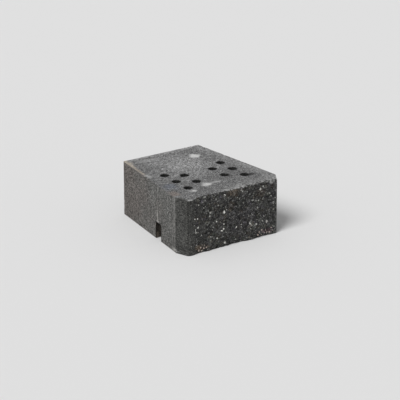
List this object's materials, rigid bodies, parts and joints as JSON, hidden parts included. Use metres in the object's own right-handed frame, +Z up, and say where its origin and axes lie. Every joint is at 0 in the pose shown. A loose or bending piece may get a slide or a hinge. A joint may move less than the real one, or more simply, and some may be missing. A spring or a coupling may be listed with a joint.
{
  "type": "split-face concrete block",
  "caption": "Solid concrete wall block with a rough split face, tapered sides, blind pin holes in its top and a pin channel across its underside.",
  "frame": {"origin": "middle of the base, on the bed face", "axes": "+Z up, -Y out of the split face, +X to the right of someone facing the split face"},
  "size_m": [0.312, 0.345, 0.15],
  "materials": {
    "concrete": "dry-pressed charcoal-grey concrete: sandy matt cement skin on the top and sides, darker broken aggregate with pale stones on the split face"
  },
  "bodies": {
    "root": {"block": "concrete"}
  },
  "joints": []
}
